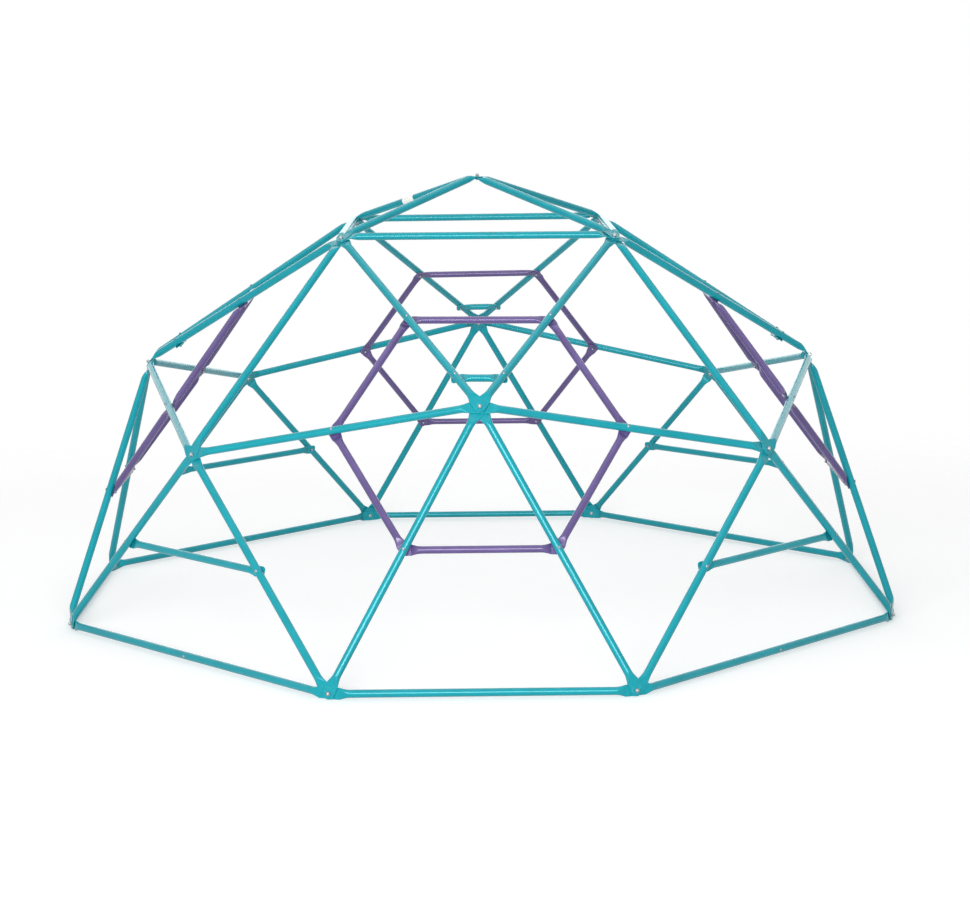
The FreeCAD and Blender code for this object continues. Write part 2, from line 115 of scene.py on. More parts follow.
# --- Noise in the materials, in features per metre
COVER_NOISE = 9.0
DUST_NOISE = 24.0
GLOSS_NOISE = 60.0
RUB_NOISE = 110.0
PEEL_NOISE = 380.0
CHIP_NOISE = 420.0
STAIN_NOISE = 160.0
TOOLING_NOISE = 1800.0
HANDLING_NOISE = 90.0
FILM_NOISE = 500.0
PAPER_NOISE = 0.6

# --- Camera and studio
CAMERA_DISTANCE = 8.478         # in front of the upright axis
CAMERA_HEIGHT = 1.9545
CAMERA_DOWN = 0.1654            # radians
CAMERA_PAN = 0.0021
CAMERA_ROLL = -0.0103
CAMERA_LENS = 87.58             # on a 36 mm wide sensor
FLOOR_RADIUS = 8.0
FLOOR_FADE = 2.2                # from here out the camera sees the floor fade away
FLOOR_GONE = 4.6
FLOOR_LIFT = 0.36               # added to the floor's brightness, where it is seen or mirrored
WHITE_BEHIND = 1.0              # how bright the surroundings are, where they are seen or mirrored
SOFT_AROUND = 0.2               # how much they light the climber otherwise

SIDES = ["front", "right", "back", "left"]
CORNERS = ["front_right", "back_right", "back_left", "front_left"]

# The tabs on each hub's bolt, from the innermost out. Bars that come in pairs are numbered 0 and 1
# in the order in which they run round the dome.
STACKS = {
    "top": ["spoke 0", "spoke 1", "spoke 2", "spoke 3"],
    "crown": ["corner strut", "face strut 1", "face strut 0", "crown bar 1", "crown bar 0", "spoke"],
    "face": ["leg 1", "leg 0", "belt bar 1", "belt bar 0", "face strut 1", "face strut 0"],
    "corner": ["leg 1", "leg 0", "belt bar 1", "belt bar 0", "corner strut"],
    "base": ["long bar", "base bar", "corner leg", "face leg"],
}

Hub = namedtuple("Hub", "point normal kind")
Seat = namedtuple("Seat", "point normal reach")
Cross = namedtuple("Cross", "point normal")
Line = namedtuple("Line", "start direction length")

# One cross-section of a tube: two half circles of radius rho joined by flats. Edge is how worn it is,
# and bolt how far it is from the nearest bolt.
Ring = namedtuple("Ring", "centre across up rho flat edge bolt")


# ---------------------------------------------------------------- where everything is

def around(radius, degrees, height):
    """A point at a distance from the upright axis. The angle runs from the front to the right."""
    angle = math.radians(degrees)
    return Vector((radius * math.sin(angle), -radius * math.cos(angle), height))


def tab_width(diameter):
    """A tube keeps the length of its wall when it is pressed flat."""
    return math.pi * (diameter - TAB_THICKNESS) / 2 + TAB_THICKNESS


def base_hub_height():
    """The frame stands on the rounded corners of the corner legs' tabs."""
    corner = around(CORNER_RADIUS, SIDE_ANGLE / 2, CORNER_RISE)
    leg = corner - around(BASE_RADIUS, BASE_HALF_ANGLE, 0)
    out = around(1, BASE_HALF_ANGLE, 0)
    slope = math.asin((leg - out * leg.dot(out)).normalized().z)
    end = (TAB_END - TAB_CORNER) * math.sin(slope)
    side = (tab_width(FRAME_TUBE) / 2 - TAB_CORNER) * math.cos(slope)
    return TAB_CORNER + end + side


CENTRE = Vector((0, 0, base_hub_height()))


def outward(point):
    return (point - CENTRE).normalized()


def hub(kind, degrees):
    radius, rise = {
        "base": (BASE_RADIUS, 0.0),
        "corner": (CORNER_RADIUS, CORNER_RISE),
        "face": (FACE_RADIUS, FACE_RISE),
        "crown": (CROWN_RADIUS, CROWN_RISE),
        "top": (0.0, TOP_RISE),
    }[kind]
    point = around(radius, degrees, CENTRE.z + rise)
    return Hub(point, outward(point), kind)


def face_hub(side):
    return hub("face", side * SIDE_ANGLE)


def corner_hub(corner):
    return hub("corner", (corner + 0.5) * SIDE_ANGLE)


def crown_hub(corner):
    return hub("crown", (corner + 0.5) * SIDE_ANGLE)


def base_hub(side, end):
    """One of the two base hubs of a side: end is -1 for its first and +1 for its second."""
    return hub("base", side * SIDE_ANGLE + end * BASE_HALF_ANGLE)


def stack_height(at):
    return len(STACKS[at.kind]) * TAB_THICKNESS


def seat(at, bar, number=None):
    """The place of one bar's tab in a hub's stack."""
    name = bar if number is None else f"{bar} {number}"
    height = (STACKS[at.kind].index(name) + 0.5) * TAB_THICKNESS
    reach = SHORT_REACH if at.kind == "top" else HUB_REACH
    return Seat(at.point + at.normal * (height - stack_height(at) / 2), at.normal, reach)


def tab_direction(at, target):
    """From a tab's bolt towards its tube, lying in the tab."""
    run = target - at.point
    return (run - at.normal * run.dot(at.normal)).normalized()


def axis_between(seat_a, seat_b):
    """The straight axis between the bends of a tube whose ends sit on two seats."""
    start = seat_a.point + tab_direction(seat_a, seat_b.point) * seat_a.reach
    end = seat_b.point + tab_direction(seat_b, seat_a.point) * seat_b.reach
    return Line(start, (end - start).normalized(), (end - start).length)


def crossing(seat_a, seat_b, distance=None):
    """Where a bolt goes through a strut: its middle, or a distance from the first hub's bolt."""
    line = axis_between(seat_a, seat_b)
    along = line.length / 2 if distance is None else distance - seat_a.reach
    point = line.start + line.direction * along
    away = outward(point)
    return Cross(point, (away - line.direction * away.dot(line.direction)).normalized())


def inner_seat(cross, level):
    """The place of a bar's tab against the inside of a strut. Level 0 touches the strut."""
    depth = FRAME_TUBE / 2 + (level + 0.5) * TAB_THICKNESS
    return Seat(cross.point - cross.normal * depth, cross.normal, SHORT_REACH)


def crown_spoke_ends(corner):
    return seat(hub("top", 0), "spoke", corner), seat(crown_hub(corner), "spoke")


def crown_bar_ends(side):
    return seat(crown_hub(side - 1), "crown bar", 0), seat(crown_hub(side), "crown bar", 1)


def corner_strut_ends(corner):
    return seat(crown_hub(corner), "corner strut"), seat(corner_hub(corner), "corner strut")


def face_strut_ends(side, end):
    crown = crown_hub(side - 1 + end)
    return seat(face_hub(side), "face strut", end), seat(crown, "face strut", end)


def belt_bar_ends(side, end):
    corner = corner_hub(side - 1 + end)
    return seat(face_hub(side), "belt bar", end), seat(corner, "belt bar", end)


def face_leg_ends(side, end):
    return seat(face_hub(side), "leg", end), seat(base_hub(side, 2 * end - 1), "face leg")


def corner_leg_ends(corner, end):
    base = base_hub(corner + end, 1 - 2 * end)
    return seat(corner_hub(corner), "leg", end), seat(base, "corner leg")


def base_bar_ends(side):
    return seat(base_hub(side, -1), "base bar"), seat(base_hub(side, 1), "base bar")


def long_bar_seats(corner):
    """The seat on the left or right side of the dome comes first: it holds the socket tube."""
    before = seat(base_hub(corner, 1), "long bar")
    after = seat(base_hub(corner + 1, -1), "long bar")
    return (before, after) if SIDES[corner] in ("right", "left") else (after, before)


def hexagon_crossings(side):
    """The middles of the six struts that meet at a face hub, in order round the hexagon."""
    return [
        crossing(*face_strut_ends(side, 0)),
        crossing(*face_strut_ends(side, 1)),
        crossing(*belt_bar_ends(side, 1)),
        crossing(*face_leg_ends(side, 1)),
        crossing(*face_leg_ends(side, 0)),
        crossing(*belt_bar_ends(side, 0)),
    ]


def hexagon_bar_ends(side):
    """Each bar lies against the strut at its first end and on its neighbour at its last."""
    corners = hexagon_crossings(side)
    following = corners[1:] + corners[:1]
    return [(inner_seat(a, 0), inner_seat(b, 1)) for a, b in zip(corners, following)]


def bridge_crossings(side):
    return [crossing(*face_strut_ends(side, end), BRIDGE_DISTANCE) for end in (0, 1)]


def rung_crossings(corner):
    return [crossing(*corner_leg_ends(corner, end)) for end in (0, 1)]


def joint_cross(corner):
    """The cross screw of a long bar, through the socket tube just short of the seam."""
    line = axis_between(*long_bar_seats(corner))
    along = (line.length - SEAM_GAP) / 2 - JOINT_SCREW_OFFSET
    point = line.start + line.direction * along
    level_way = Vector((0, 0, 1)).cross(line.direction).normalized()
    if level_way.dot(outward(point)) < 0:
        level_way = -level_way
    return Cross(point, level_way)


# ---------------------------------------------------------------- tubes with pressed ends

def section_flat(diameter, rho):
    """Flat width of a half pressed tube whose two sides are round with radius rho."""
    return math.pi * (diameter / 2 - rho)


def section_points(ring):
    """Points round a cross-section: two half circles, joined by flats where it is pressed."""
    half = SECTION_POINTS // 2
    points = []
    for side in (1, -1):
        for step in range(half):
            angle = math.pi * (step + 0.5) / half - side * math.pi / 2
            wide = side * ring.flat / 2 + ring.rho * math.cos(angle)
            high = ring.rho * math.sin(angle)
            points.append(ring.centre + ring.across * wide + ring.up * high)
    return points


def tab_rings(at, way, diameter):
    """The flat end, from the bottom of the slit at its free edge to just short of the bend."""
    across = at.normal.cross(way)
    half_width = tab_width(diameter) / 2
    rings = []

    def add(along, half, rho, edge):
        centre = at.point + way * along
        rings.append(Ring(centre, across, at.normal, rho, 2 * (half - rho), edge, abs(along)))

    end_half = half_width - TAB_CORNER
    add(SLIT_DEPTH - TAB_END, end_half - WALL, SLIT, WEAR_SHEARED)
    add(-TAB_END, end_half - WALL, SLIT, WEAR_SHEARED)
    add(-TAB_END, end_half - EDGE_ROUND, WALL - EDGE_ROUND, WEAR_SHEARED)
    corner_steps = 8
    for step in range(corner_steps + 1):
        turn = math.pi / 2 * step / corner_steps
        back = max(TAB_CORNER * (1 - math.cos(turn)), EDGE_ROUND)
        half = end_half + TAB_CORNER * math.sin(turn)
        wear = WEAR_SHEARED + (WEAR_TAB - WEAR_SHEARED) * step / corner_steps
        add(back - TAB_END, half, WALL, wear)
    for share in (0.25, 0.5, 0.75, 1.0):
        along = TAB_CORNER - TAB_END
        add(along + (at.reach - BEND_EASE - along) * share, half_width, WALL, WEAR_TAB)
    return rings


def flare_height(share):
    """How far a flare has swelled: steep at the bend, and level where it meets the round tube."""
    return math.sin(share * math.pi / 2)


def flare_rings(at, way, bend, axis_way, diameter):
    """From the bend to the round tube. The flat faces narrow to a point as the sides fill out."""
    across = at.normal.cross(way)
    axis_across = (across - axis_way * across.dot(axis_way)).normalized()
    axis_up = axis_way.cross(axis_across)
    turn_from = Matrix((way, across, at.normal)).transposed().to_quaternion()
    turn_to = Matrix((axis_way, axis_across, axis_up)).transposed().to_quaternion()
    rings = []

    def add(centre, rotation, past_bend):
        share = min(1.0, max(0.0, past_bend / FLARE))
        rho = WALL + (diameter / 2 - WALL) * flare_height(share)
        flat = section_flat(diameter, rho)
        edge = WEAR_BEND * (1 - share)
        far = at.reach + past_bend
        rings.append(Ring(
            centre, rotation @ Vector((0, 1, 0)), rotation @ Vector((0, 0, 1)), rho, flat, edge, far
        ))

    start = bend - way * BEND_EASE
    end = bend + axis_way * BEND_EASE
    bend_steps = 6
    for step in range(bend_steps + 1):
        s = step / bend_steps
        centre = start * (1 - s) ** 2 + bend * (2 * s * (1 - s)) + end * s ** 2
        add(centre, turn_from.slerp(turn_to, s), (2 * s - 1) * BEND_EASE)
    flare_steps = 12
    for step in range(1, flare_steps + 1):
        past = BEND_EASE + (FLARE - BEND_EASE) * step / flare_steps
        add(bend + axis_way * past, turn_to, past)
    return rings


def end_rings(at, target, bend, axis_way, diameter):
    way = tab_direction(at, target)
    return tab_rings(at, way, diameter) + flare_rings(at, way, bend, axis_way, diameter)


def reversed_rings(rings):
    """The rings of a tube's far end, in the order and handedness of its near end."""
    return [ring._replace(across=-ring.across) for ring in reversed(rings)]


def barrel_rings(first, last, way, steps):
    """Round rings strictly between two others. They take up the twist between the two ends."""
    cross = first.across.cross(last.across).dot(way)
    twist = math.atan2(cross, first.across.dot(last.across))
    run = last.centre - first.centre
    rings = []
    for step in range(1, steps):
        share = step / steps
        turn = Quaternion(way, twist * share)
        bolt = min(first.bolt + run.length * share, last.bolt + run.length * (1 - share))
        rings.append(Ring(
            first.centre + run * share, turn @ first.across, turn @ first.up,
            first.rho, 0.0, 0.0, bolt,
        ))
    return rings


def tube_rings(seat_a, seat_b, diameter):
    line = axis_between(seat_a, seat_b)
    end = line.start + line.direction * line.length
    near = end_rings(seat_a, seat_b.point, line.start, line.direction, diameter)
    far = reversed_rings(end_rings(seat_b, seat_a.point, end, -line.direction, diameter))
    return near + barrel_rings(near[-1], far[0], line.direction, 6) + far


def half_bar_rings(near_seat, far_seat, plug):
    """Half of a long base bar, from its hub to the seam, where it ends in a spigot or a socket."""
    line = axis_between(near_seat, far_seat)
    near = end_rings(near_seat, far_seat.point, line.start, line.direction, FRAME_TUBE)
    last = near[-1]
    seam = line.start + line.direction * ((line.length - SEAM_GAP) / 2)
    radius = FRAME_TUBE / 2

    def ring(offset, rho, edge):
        centre = seam + line.direction * offset
        return last._replace(centre=centre, rho=rho, flat=0.0, edge=edge, bolt=line.length)

    tail = [ring(-RIM_ROUND, radius, WEAR_RIM), ring(0.0, radius - RIM_ROUND, WEAR_SHEARED)]
    if plug:
        neck = radius - WALL - SPIGOT_CLEARANCE
        tail += [ring(0.0, neck, WEAR_NECK), ring(SPIGOT_SHOWN, neck, 0.0)]
    else:
        bore = radius - WALL
        tail += [ring(0.0, bore, WEAR_RIM), ring(-SPIGOT_SHOWN, bore, 0.0)]
    return near + barrel_rings(last, tail[0], line.direction, 5) + tail


def add_rings(vertices, faces, edges, bolts, rings):
    """Skins a run of rings and closes both its ends."""
    base = len(vertices)
    count = SECTION_POINTS
    for ring in rings:
        vertices.extend(section_points(ring))
        edges.extend([ring.edge] * count)
        bolts.extend([ring.bolt] * count)
    for row in range(len(rings) - 1):
        low = base + row * count
        for k in range(count):
            following = (k + 1) % count
            faces.append((low + k, low + following, low + count + following, low + count + k))
    faces.append(tuple(reversed(range(base, base + count))))
    top = base + (len(rings) - 1) * count
    faces.append(tuple(range(top, top + count)))


def finish_piece(name, node, mesh, material):
    """Turns a mesh into a shown piece that stands for a node of the frame."""
    for polygon in mesh.polygons:
        polygon.use_smooth = True
    mesh.set_sharp_from_angle(angle=SHARP_ANGLE)
    mesh.materials.append(material)
    piece = bpy.data.objects.new(name, mesh)
    bpy.context.scene.collection.objects.link(piece)
    normals = piece.modifiers.new("flat faces", "WEIGHTED_NORMAL")
    normals.keep_sharp = True
    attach(piece, "root")
    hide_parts(node)
    return piece


def make_tubes(node, runs, material):
    """One piece from the rings of one or more tubes."""
    vertices, faces, edges, bolts = [], [], [], []
    for rings in runs:
        add_rings(vertices, faces, edges, bolts, rings)
    mesh = bpy.data.meshes.new(node + "_coated")
    mesh.from_pydata([tuple(v) for v in vertices], [], faces)
    mesh.update()
    for name, values in (("edge", edges), ("bolt", bolts)):
        attribute = mesh.attributes.new(name, "FLOAT", "POINT")
        attribute.data.foreach_set("value", values)
    return finish_piece(node + "_coated", node, mesh, material)


# ---------------------------------------------------------------- fasteners

def hexagon_reach(across_flats, angle):
    """From the middle of a hexagon to its edge, at an angle."""
    sixth = math.pi / 3
    return across_flats / 2 / math.cos((angle + sixth / 2) % sixth - sixth / 2)


def turned_ring(build, height, reach, place):
    """A ring of vertices about a body's axis. The reach is a distance, or a function of the angle."""
    ring = []
    for step in range(TURNS):
        angle = 2 * math.pi * step / TURNS
        distance = reach(angle) if callable(reach) else reach
        at = Vector((distance * math.cos(angle), distance * math.sin(angle), height))
        ring.append(build.verts.new(place @ at))
    return ring


def lathe(build, rows, place, sleeve=False):
    """Adds a turned body from rows of (height, reach). A sleeve's last row joins its first."""
    rings = [turned_ring(build, height, reach, place) for height, reach in rows]
    if sleeve:
        rings.append(rings[0])
    else:
        build.faces.new(list(reversed(rings[0])))
        build.faces.new(rings[-1])
    for low, high in zip(rings, rings[1:]):
        for k in range(TURNS):
            following = (k + 1) % TURNS
            build.faces.new((low[k], low[following], high[following], high[k]))


def dome_rows(radius, bottom, height, steps, stop=0.0):
    """Rows of a spherical cap, from its rim up to where it has closed in to the stop radius."""
    sphere = (radius ** 2 + height ** 2) / (2 * height)
    rim = math.asin(radius / sphere)
    rows = []
    for step in range(steps + 1):
        angle = rim * (1 - step / steps)
        reach = max(sphere * math.sin(angle), stop)
        rows.append((bottom + height - sphere * (1 - math.cos(angle)), reach))
        if reach == stop:
            break
    return rows


def bolt_head_rows(size):
    """A button head with a hexagon socket."""
    radius = size.head / 2
    rim = size.head_height * 0.15
    flats = size.head * SOCKET_FRACTION
    mouth = flats / 2 * 1.22
    chamfer = size.head * 0.02
    floor = size.head_height * (1 - SOCKET_DEPTH_FRACTION)
    rows = [(0.0, radius * 0.96), (rim * 0.35, radius)]
    rows += dome_rows(radius, rim, size.head_height - rim, 14, mouth)
    socket = hexagon(flats)
    rows += [(rows[-1][0] - chamfer, socket), (floor, socket)]
    drilled = [(floor, flats * 0.42), (floor - rim / 2, flats * 0.06)]
    return rows + drilled


def hexagon(flats, limit=None):
    """The reach of a hexagon, turned down to a limit where it is given."""
    def reach(angle):
        edge = hexagon_reach(flats, angle)
        return edge if limit is None else min(edge, limit)
    return reach


def turned_hexagon_rows(flats, height):
    """A hexagon with the corners of both its ends turned off."""
    drop = flats * 0.07
    face = hexagon(flats, flats / 2 * 1.02)
    shoulder = hexagon(flats, flats / math.sqrt(3) * 0.975)
    full = hexagon(flats)
    lower = [(0.0, face), (drop / 2, shoulder), (drop, full)]
    return lower + [(height - drop, full), (height - drop / 2, shoulder), (height, face)]


def cap_nut_rows(size):
    """A turned hexagon and a closed dome on it."""
    rows = turned_hexagon_rows(size.across_flats, size.hex_height)
    neck = size.dome_radius * 0.06
    foot = size.dome_radius * 1.02
    rim = size.dome_radius * 0.95
    rows += [(size.hex_height, foot), (size.hex_height + neck, rim)]
    tip = size.dome_radius * 0.03
    return rows + dome_rows(rim, size.hex_height + neck, size.dome_height - neck, 12, tip)


def screw_nut_rows():
    """A turned hexagon, with the end of the screw in its bore."""
    rows = turned_hexagon_rows(BAR_NUT.across_flats, SCREW_NUT_HEIGHT)
    shank = BAR_BOLT.shank / 2
    rows += [(SCREW_NUT_HEIGHT, shank * 1.17), (SCREW_NUT_HEIGHT - shank * 0.17, shank * 1.02)]
    screw_end = (SCREW_NUT_HEIGHT - shank * 0.3, shank * 0.97)
    return rows + [screw_end]


def standing(point, up, turn):
    """Places a fastener's z = 0 face at a point, with its head or dome towards up."""
    rotation = Vector((0, 0, 1)).rotation_difference(up) @ Quaternion((0, 0, 1), turn)
    return Matrix.Translation(point) @ rotation.to_matrix().to_4x4()


def make_fasteners(node, rows, places, material):
    """Many copies of one fastener in one piece, each turned a little further than the last."""
    build = bmesh.new()
    for index, (point, up) in enumerate(places):
        lathe(build, rows, standing(point, up, index * TURN_STEP))
    mesh = bpy.data.meshes.new(node + "_turned")
    build.to_mesh(mesh)
    build.free()
    return finish_piece(node + "_turned", node, mesh, material)


def all_hubs():
    hubs = [hub("top", 0)]
    for index in range(len(SIDES)):
        hubs += [crown_hub(index), corner_hub(index), face_hub(index)]
        hubs += [base_hub(index, -1), base_hub(index, 1)]
    return hubs


def bar_crossings():
    """Every bolted crossing away from the hubs, with the number of tabs that it holds."""
    crossings = []
    for index in range(len(SIDES)):
        crossings += [(cross, 2) for cross in hexagon_crossings(index)]
        crossings += [(cross, 1) for cross in bridge_crossings(index)]
        crossings += [(cross, 1) for cross in rung_crossings(index)]
    return crossings


def make_all_fasteners():
    """The hubs' bolts and nuts are brighter than the smaller ones."""
    bright = zinc_plate("bright_zinc", srgb(172, 176, 178), srgb(142, 146, 146), smooth=0.34)
    dull = zinc_plate("dull_zinc", srgb(150, 160, 166), srgb(124, 132, 136), smooth=0.42)
    hubs = all_hubs()
    inside = [(at.point - at.normal * (stack_height(at) / 2), -at.normal) for at in hubs]
    outside = [(at.point + at.normal * (stack_height(at) / 2), at.normal) for at in hubs]
    make_fasteners("hub_bolts", bolt_head_rows(HUB_BOLT), inside, bright)
    make_fasteners("hub_nuts", cap_nut_rows(HUB_NUT), outside, bright)
    heads = []
    nuts = []
    for cross, tabs in bar_crossings():
        heads.append((cross.point + cross.normal * (FRAME_TUBE / 2), cross.normal))
        depth = FRAME_TUBE / 2 + tabs * TAB_THICKNESS
        nuts.append((cross.point - cross.normal * depth, -cross.normal))
    make_fasteners("bar_bolts", bolt_head_rows(BAR_BOLT), heads, dull)
    make_fasteners("bar_nuts", cap_nut_rows(BAR_NUT), nuts, dull)
    crosses = [joint_cross(corner) for corner in range(len(CORNERS))]
    screws = [(c.point + c.normal * (FRAME_TUBE / 2), c.normal) for c in crosses]
    screw_nuts = [(c.point - c.normal * (FRAME_TUBE / 2), -c.normal) for c in crosses]
    make_fasteners("joint_screws", bolt_head_rows(BAR_BOLT), screws, dull)
    make_fasteners("joint_nuts", screw_nut_rows(), screw_nuts, dull)


# ---------------------------------------------------------------- label

def make_label(material):
    """A blank wrap round the spoke to the back left crown hub."""
    line = axis_between(*crown_spoke_ends(CORNERS.index("back_left")))
    start = line.start + line.direction * (line.length * LABEL_POSITION - LABEL_LENGTH / 2)
    place = standing(start, line.direction, 0.0)
    bore = FRAME_TUBE / 2
    skin = bore + LABEL_THICKNESS
    build = bmesh.new()
    shares = (0.0, 0.02, 0.25, 0.5, 0.75, 0.98, 1.0)
    rows = [(LABEL_LENGTH * share, skin) for share in shares]
    rows = [(0.0, bore)] + rows + [(LABEL_LENGTH, bore)]
    lathe(build, rows, place, sleeve=True)
    mesh = bpy.data.meshes.new("label_wrap_film")
    build.to_mesh(mesh)
    build.free()
    return finish_piece("label_wrap_film", "label_wrap", mesh, material)


# ---------------------------------------------------------------- materials

def srgb(red, green, blue):
    """A colour given as on a screen, 0 to 255, in the linear values that shaders take."""
    def linear(value):
        value /= 255
        return value / 12.92 if value <= 0.04045 else ((value + 0.055) / 1.055) ** 2.4
    return (linear(red), linear(green), linear(blue), 1.0)


class Graph:
    """Short calls for building a node material."""

    def __init__(self, name):
        self.material = bpy.data.materials.new(name)
        self.material.use_nodes = True
        self.nodes = self.material.node_tree.nodes
        self.links = self.material.node_tree.links
        self.shader = self.nodes["Principled BSDF"]

    def node(self, kind, inputs=None, **settings):
        made = self.nodes.new(kind)
        for key, value in settings.items():
            setattr(made, key, value)
        for key, value in (inputs or {}).items():
            if isinstance(value, bpy.types.NodeSocket):
                self.links.new(value, made.inputs[key])
            else:
                made.inputs[key].default_value = value
        return made

    def place(self):
        return self.node("ShaderNodeTexCoord").outputs["Object"]

    def noise(self, vector, scale, detail=2.0, roughness=0.5):
        inputs = {"Vector": vector, "Scale": scale, "Detail": detail, "Roughness": roughness}
        return self.node("ShaderNodeTexNoise", inputs).outputs["Fac"]

    def remap(self, value, low, high, to_low, to_high):
        inputs = {"Value": value, "From Min": low, "From Max": high, "To Min": to_low, "To Max": to_high}
        return self.node("ShaderNodeMapRange", inputs, clamp=True).outputs["Result"]

    def math(self, operation, a, b):
        return self.node("ShaderNodeMath", {0: a, 1: b}, operation=operation).outputs[0]

    def mix(self, factor, a, b):
        made = self.node("ShaderNodeMix", {"Factor": factor}, data_type="RGBA")
        for key, value in ((6, a), (7, b)):
            if isinstance(value, bpy.types.NodeSocket):
                self.links.new(value, made.inputs[key])
            else:
                made.inputs[key].default_value = value
        return made.outputs[2]

    def attribute(self, name):
        return self.node("ShaderNodeAttribute", attribute_name=name).outputs["Fac"]

    def set(self, **sockets):
        for key, value in sockets.items():
            socket = self.shader.inputs[key.replace("_", " ")]
            if isinstance(value, bpy.types.NodeSocket):
                self.links.new(value, socket)
            else:
                socket.default_value = value

    def bump(self, height, strength, distance, normal=None):
        inputs = {"Height": height, "Strength": strength, "Distance": distance}
        if normal is not None:
            inputs["Normal"] = normal
        return self.node("ShaderNodeBump", inputs).outputs["Normal"]


def powder_coat(name, thin, full, dusty, bare, sheen):
    """Glossy powder coat: orange peel, uneven cover, dust on top, and wear at edges and bolts."""
    g = Graph(name)
    place = g.place()
    cover = g.remap(g.noise(place, COVER_NOISE, detail=3.0), 0.35, 0.65, 0.0, 1.0)
    colour = g.mix(cover, thin, full)

    up = g.node("ShaderNodeSeparateXYZ", {0: g.node("ShaderNodeNewGeometry").outputs["Normal"]})
    settled = g.remap(up.outputs["Z"], 0.3, 1.0, 0.0, 1.0)
    patchy = g.remap(g.noise(place, DUST_NOISE), 0.4, 0.7, 0.0, 0.16)
    dust = g.math("MULTIPLY", settled, patchy)
    by_bolt = g.remap(g.attribute("bolt"), RUBBED_FROM, RUBBED_TO, 1.0, 0.0)
    rubs = g.remap(g.noise(place, RUB_NOISE), 0.5, 0.7, 0.0, 0.22)
    rubbed = g.math("MULTIPLY", by_bolt, rubs)
    matt = g.math("MAXIMUM", dust, rubbed)
    colour = g.mix(matt, colour, dusty)

    grain = g.remap(g.noise(place, CHIP_NOISE, detail=3.0, roughness=0.65), 0.35, 0.75, 0.0, 1.0)
    chipped = g.remap(g.math("MULTIPLY", g.attribute("edge"), grain), 0.62, 0.70, 0.0, 1.0)
    colour = g.mix(chipped, colour, bare)

    gloss = g.remap(g.noise(place, GLOSS_NOISE, detail=3.0), 0.3, 0.7, 0.27, 0.38)
    gloss = g.math("ADD", gloss, g.math("MULTIPLY", matt, 0.5))
    normal = g.bump(g.noise(place, PEEL_NOISE, detail=1.0), 0.06, 0.03 * MM)
    normal = g.bump(chipped, -0.4, 0.1 * MM, normal)
    g.set(Base_Color=colour, Roughness=gloss, Metallic=g.math("MULTIPLY", chipped, 0.8), Normal=normal)
    g.set(Coat_Weight=0.35, Coat_Roughness=0.16, Specular_Tint=sheen)
    return g.material


def zinc_plate(name, clean, stained, smooth):
    """Zinc plate: fine tooling marks, a thin stain and duller patches."""
    g = Graph(name)
    place = g.place()
    stain = g.remap(g.noise(place, STAIN_NOISE, detail=4.0, roughness=0.6), 0.4, 0.7, 0.0, 1.0)
    colour = g.mix(stain, clean, stained)
    fine = g.noise(place, TOOLING_NOISE, detail=1.0)
    rough = g.remap(stain, 0.0, 1.0, smooth, smooth + 0.16)
    rough = g.math("ADD", rough, g.remap(fine, 0.3, 0.7, -0.03, 0.05))
    g.set(Base_Color=colour, Roughness=rough, Normal=g.bump(fine, 0.15, 0.02 * MM), Metallic=0.9)
    return g.material


def label_film():
    """White plastic film with faint handling marks."""
    g = Graph("label_film")
    place = g.place()
    mark = g.remap(g.noise(place, HANDLING_NOISE, detail=4.0, roughness=0.6), 0.5, 0.8, 0.0, 0.5)
    colour = g.mix(mark, srgb(244, 244, 240), srgb(214, 214, 208))
    rough = g.remap(mark, 0.0, 0.5, 0.32, 0.5)
    g.set(Base_Color=colour, Roughness=rough, Normal=g.bump(g.noise(place, FILM_NOISE), 0.1, 0.05 * MM))
    return g.material


def floor_paper():
    """White paper, lifted a little where it is seen or mirrored. It fades out for the camera."""
    g = Graph("floor_paper")
    place = g.place()
    tone = g.remap(g.noise(place, PAPER_NOISE, detail=3.0), 0.3, 0.7, 0.0, 1.0)
    g.set(Base_Color=g.mix(tone, (0.79, 0.79, 0.79, 1.0), (0.81, 0.81, 0.81, 1.0)), Roughness=0.9)
    g.set(Specular_IOR_Level=0.1, Emission_Color=(1.0, 1.0, 1.0, 1.0))
    path = g.node("ShaderNodeLightPath").outputs
    seen = path["Is Camera Ray"]
    shown = g.math("MAXIMUM", seen, path["Is Glossy Ray"])
    distance = g.node("ShaderNodeVectorMath", {0: place}, operation="LENGTH").outputs["Value"]
    faded = g.remap(distance, FLOOR_FADE, FLOOR_GONE, 0.0, 1.0)
    g.set(Alpha=g.math("SUBTRACT", 1.0, g.math("MULTIPLY", faded, seen)))
    g.set(Emission_Strength=g.math("MULTIPLY", shown, FLOOR_LIFT))
    return g.material


# ---------------------------------------------------------------- the climber

